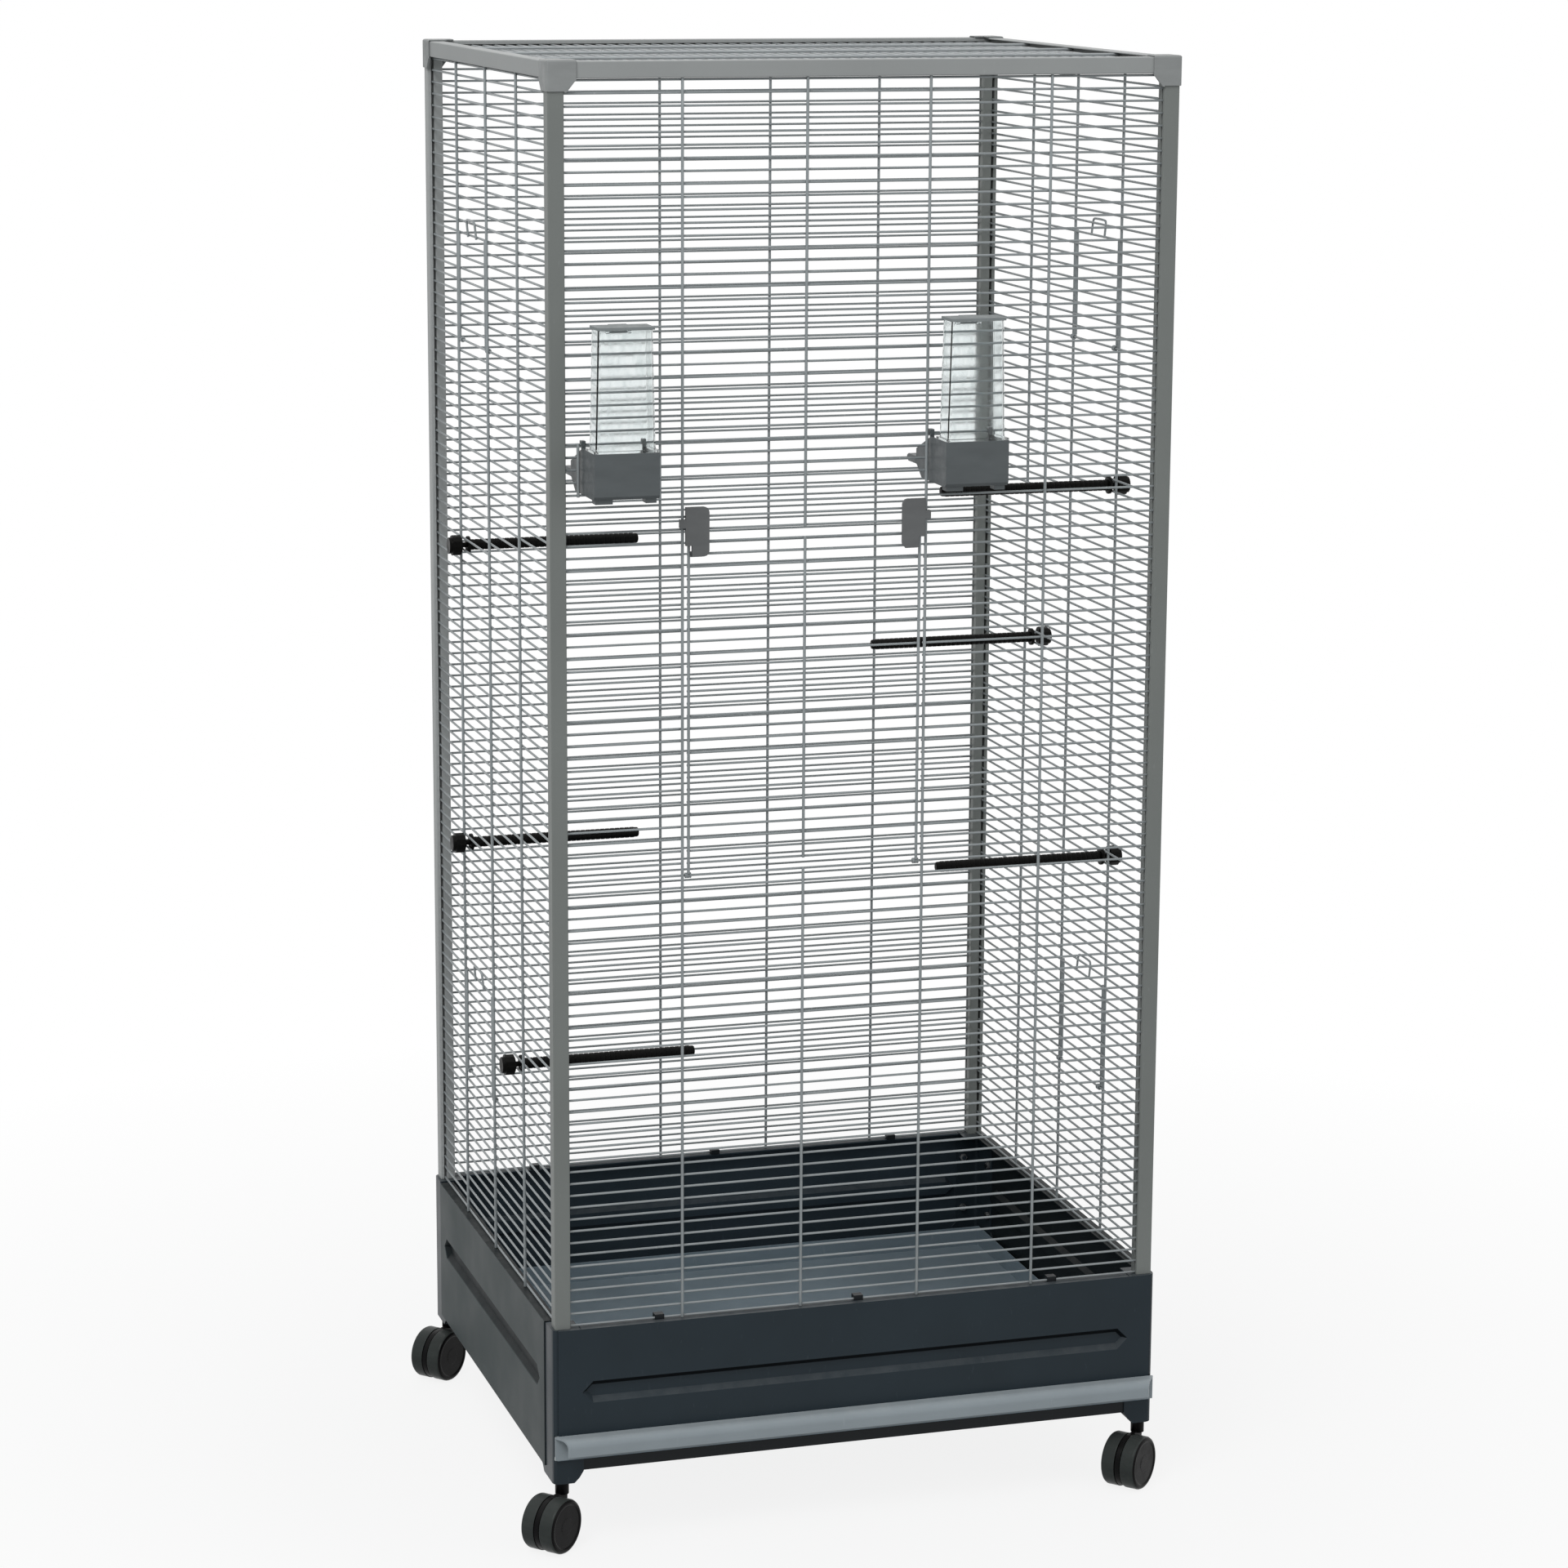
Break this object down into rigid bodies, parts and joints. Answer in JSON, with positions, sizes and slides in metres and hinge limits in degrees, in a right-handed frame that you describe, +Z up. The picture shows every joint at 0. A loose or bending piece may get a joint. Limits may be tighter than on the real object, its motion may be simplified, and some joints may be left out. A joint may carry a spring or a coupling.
{
  "type": "aviary cage",
  "caption": "Tall wire bird aviary on swivel casters, with a drop-down front door, side hatches, perches, hanging seed feeders and a slide-out tray.",
  "frame": {"origin": "on the floor, under the middle of the base", "axes": "+Z up, the front with the main door faces -Y, +X to the right seen from the front"},
  "size_m": [0.6397, 0.5526, 1.3725],
  "materials": {
    "base_dark": "satin powder coat",
    "base_side": "satin powder coat",
    "zinc": "zinc plated",
    "tray_grey": "satin powder coat",
    "pull_grey": "satin powder coat",
    "frame_tube": "satin powder coat",
    "joint_plastic": "satin",
    "wire": "satin powder coat",
    "latch_plastic": "satin",
    "black_plastic": "matt",
    "trough_plastic": "satin",
    "clear_plastic": "clear",
    "lid_plastic": "satin",
    "caster_black": "satin",
    "wheel_black": "satin"
  },
  "bodies": {
    "cage": {"leg_front_left": "base_dark", "leg_front_right": "base_dark", "leg_back_left": "base_dark", "leg_back_right": "base_dark", "base_front_panel": "base_dark", "base_back_panel": "base_dark", "base_left_panel": "base_side", "base_right_panel": "base_side", "lower_front_rail": "base_dark", "tray_runners": "base_dark", "base_nuts": "zinc", "rim_clips": "base_dark", "post_front_left": "frame_tube", "post_front_right": "frame_tube", "post_back_left": "frame_tube", "post_back_right": "frame_tube", "top_rail_front": "frame_tube", "top_rail_back": "frame_tube", "top_rail_left": "frame_tube", "top_rail_right": "frame_tube", "corner_joints": "joint_plastic", "front_mesh": "wire", "back_mesh": "wire", "left_mesh": "wire", "right_mesh": "wire", "top_mesh": "wire", "perch_left_top": "black_plastic", "perch_left_middle": "black_plastic", "perch_left_bottom": "black_plastic", "perch_right_top": "black_plastic", "perch_right_middle": "black_plastic", "perch_right_bottom": "black_plastic", "perch_knobs": "black_plastic", "feeder_trough_left": "trough_plastic", "feeder_trough_right": "trough_plastic", "feeder_hopper_left": "clear_plastic", "feeder_hopper_right": "clear_plastic"},
    "tray": {"tray_pan": "tray_grey", "tray_pull": "pull_grey"},
    "front_door": {"front_door": "wire"},
    "latch_left": {"door_latch_left": "latch_plastic"},
    "latch_right": {"door_latch_right": "latch_plastic"},
    "left_door_lower": {"left_door_lower": "wire"},
    "left_door_upper": {"left_door_upper": "wire"},
    "right_door_lower": {"right_door_lower": "wire"},
    "right_door_upper": {"right_door_upper": "wire"},
    "lid_left": {"feeder_lid_left": "lid_plastic"},
    "lid_right": {"feeder_lid_right": "lid_plastic"},
    "caster_front_left": {"caster_fork_front_left": "caster_black"},
    "wheel_front_left_outer": {"wheel_front_left_outer": "wheel_black"},
    "wheel_front_left_inner": {"wheel_front_left_inner": "wheel_black"},
    "caster_front_right": {"caster_fork_front_right": "caster_black"},
    "wheel_front_right_outer": {"wheel_front_right_outer": "wheel_black"},
    "wheel_front_right_inner": {"wheel_front_right_inner": "wheel_black"},
    "caster_back_left": {"caster_fork_back_left": "caster_black"},
    "wheel_back_left_outer": {"wheel_back_left_outer": "wheel_black"},
    "wheel_back_left_inner": {"wheel_back_left_inner": "wheel_black"},
    "caster_back_right": {"caster_fork_back_right": "caster_black"},
    "wheel_back_right_outer": {"wheel_back_right_outer": "wheel_black"},
    "wheel_back_right_inner": {"wheel_back_right_inner": "wheel_black"}
  },
  "joints": [
    {"name": "tray_slide", "type": "slide", "parent": "cage", "child": "tray", "axis": [0, -1, 0], "range_m": [0, 0.4]},
    {"name": "front_door_hinge", "type": "hinge", "parent": "cage", "child": "front_door", "pos_m": [-0.0577, -0.24507, 0.6363], "axis": [1, 0, 0], "range_deg": [0, 140]},
    {"name": "latch_left_flip", "type": "hinge", "parent": "front_door", "child": "latch_left", "pos_m": [-0.1581, -0.24507, 0.9327], "axis": [1, 0, 0], "range_deg": [0, 120]},
    {"name": "latch_right_flip", "type": "hinge", "parent": "front_door", "child": "latch_right", "pos_m": [0.0427, -0.24507, 0.9327], "axis": [1, 0, 0], "range_deg": [0, 120]},
    {"name": "left_door_lower_hinge", "type": "hinge", "parent": "cage", "child": "left_door_lower", "pos_m": [-0.29107, 0.06062, 0.3627], "axis": [0, -1, 0], "range_deg": [0, 145]},
    {"name": "left_door_upper_hinge", "type": "hinge", "parent": "cage", "child": "left_door_upper", "pos_m": [-0.29107, 0.06062, 1.0923], "axis": [0, -1, 0], "range_deg": [0, 145]},
    {"name": "right_door_lower_hinge", "type": "hinge", "parent": "cage", "child": "right_door_lower", "pos_m": [0.29107, -0.06062, 0.3627], "axis": [0, 1, 0], "range_deg": [0, 145]},
    {"name": "right_door_upper_hinge", "type": "hinge", "parent": "cage", "child": "right_door_upper", "pos_m": [0.29107, -0.06062, 1.0923], "axis": [0, 1, 0], "range_deg": [0, 145]},
    {"name": "feeder_lid_left_hinge", "type": "hinge", "parent": "cage", "child": "lid_left", "pos_m": [-0.2364, -0.26132, 1.1376], "axis": [-1, 0, 0], "range_deg": [0, 95]},
    {"name": "feeder_lid_right_hinge", "type": "hinge", "parent": "cage", "child": "lid_right", "pos_m": [0.0906, -0.26132, 1.1376], "axis": [-1, 0, 0], "range_deg": [0, 95]},
    {"name": "caster_front_left_swivel", "type": "hinge", "parent": "cage", "child": "caster_front_left", "pos_m": [-0.2885, -0.2425, 0.06], "axis": [0, 0, 1], "continuous": true},
    {"name": "wheel_front_left_outer_roll", "type": "hinge", "parent": "caster_front_left", "child": "wheel_front_left_outer", "pos_m": [-0.29485, -0.26235, 0.026], "axis": [0.6691, -0.7431, 0], "continuous": true},
    {"name": "wheel_front_left_inner_roll", "type": "hinge", "parent": "caster_front_left", "child": "wheel_front_left_inner", "pos_m": [-0.3089, -0.24674, 0.026], "axis": [0.6691, -0.7431, 0], "continuous": true},
    {"name": "caster_front_right_swivel", "type": "hinge", "parent": "cage", "child": "caster_front_right", "pos_m": [0.2885, -0.2425, 0.06], "axis": [0, 0, 1], "continuous": true},
    {"name": "wheel_front_right_outer_roll", "type": "hinge", "parent": "caster_front_right", "child": "wheel_front_right_outer", "pos_m": [0.28215, -0.26235, 0.026], "axis": [0.6691, -0.7431, 0], "continuous": true},
    {"name": "wheel_front_right_inner_roll", "type": "hinge", "parent": "caster_front_right", "child": "wheel_front_right_inner", "pos_m": [0.2681, -0.24674, 0.026], "axis": [0.6691, -0.7431, 0], "continuous": true},
    {"name": "caster_back_left_swivel", "type": "hinge", "parent": "cage", "child": "caster_back_left", "pos_m": [-0.2885, 0.2425, 0.06], "axis": [0, 0, 1], "continuous": true},
    {"name": "wheel_back_left_outer_roll", "type": "hinge", "parent": "caster_back_left", "child": "wheel_back_left_outer", "pos_m": [-0.29485, 0.22265, 0.026], "axis": [0.6691, -0.7431, 0], "continuous": true},
    {"name": "wheel_back_left_inner_roll", "type": "hinge", "parent": "caster_back_left", "child": "wheel_back_left_inner", "pos_m": [-0.3089, 0.23826, 0.026], "axis": [0.6691, -0.7431, 0], "continuous": true},
    {"name": "caster_back_right_swivel", "type": "hinge", "parent": "cage", "child": "caster_back_right", "pos_m": [0.2885, 0.2425, 0.06], "axis": [0, 0, 1], "continuous": true},
    {"name": "wheel_back_right_outer_roll", "type": "hinge", "parent": "caster_back_right", "child": "wheel_back_right_outer", "pos_m": [0.28215, 0.22265, 0.026], "axis": [0.6691, -0.7431, 0], "continuous": true},
    {"name": "wheel_back_right_inner_roll", "type": "hinge", "parent": "caster_back_right", "child": "wheel_back_right_inner", "pos_m": [0.2681, 0.23826, 0.026], "axis": [0.6691, -0.7431, 0], "continuous": true}
  ]
}
